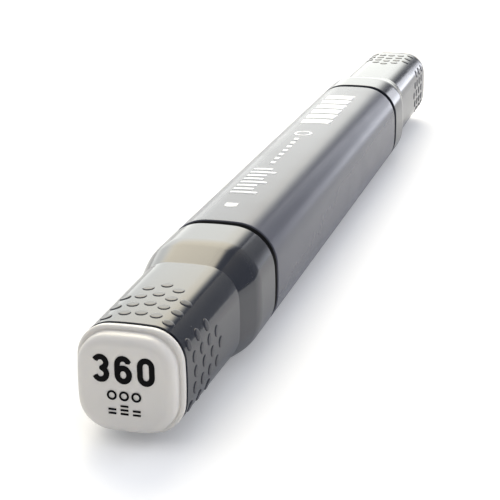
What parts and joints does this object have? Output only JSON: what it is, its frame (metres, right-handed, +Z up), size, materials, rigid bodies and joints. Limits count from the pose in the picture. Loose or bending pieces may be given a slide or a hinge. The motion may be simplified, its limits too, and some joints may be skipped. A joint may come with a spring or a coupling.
{
  "type": "twin-tip felt marker",
  "caption": "Twin-tip felt marker: squarish barrel, pull-off caps with dotted grip panels and pale end plugs, a chisel nib and a brush nib.",
  "frame": {"origin": "centre of the marker's underside, halfway along its whole length, on the surface it rests on", "axes": "+Y along the marker from the chisel end to the brush end, +Z up from the flat it rests on, +X across to the right seen from the chisel end"},
  "size_m": [0.014, 0.1502, 0.014],
  "materials": {
    "barrel": "satin moulded grey",
    "section": "black, satin",
    "nib": "porous felt",
    "fibre": "drawn polyester fibre",
    "film": "thin clear film",
    "liner": "natural, unpolished",
    "cap": "glossy grey",
    "plug": "off-white, satin"
  },
  "bodies": {
    "pen": {"barrel": "barrel", "section_chisel": "section", "section_brush": "section", "nib_chisel": "nib", "nib_brush": "nib", "reservoir": "fibre", "reservoir_film": "film", "vent_tube": "liner"},
    "chisel_cap": {"cap_chisel": "cap", "liner_chisel": "liner", "plug_chisel": "plug"},
    "brush_cap": {"cap_brush": "cap", "liner_brush": "liner", "plug_brush": "plug"}
  },
  "joints": [
    {"name": "chisel_cap_pull", "type": "slide", "parent": "pen", "child": "chisel_cap", "axis": [0, -1, 0], "range_m": [0, 0.04]},
    {"name": "brush_cap_pull", "type": "slide", "parent": "pen", "child": "brush_cap", "axis": [0, 1, 0], "range_m": [0, 0.045]}
  ]
}
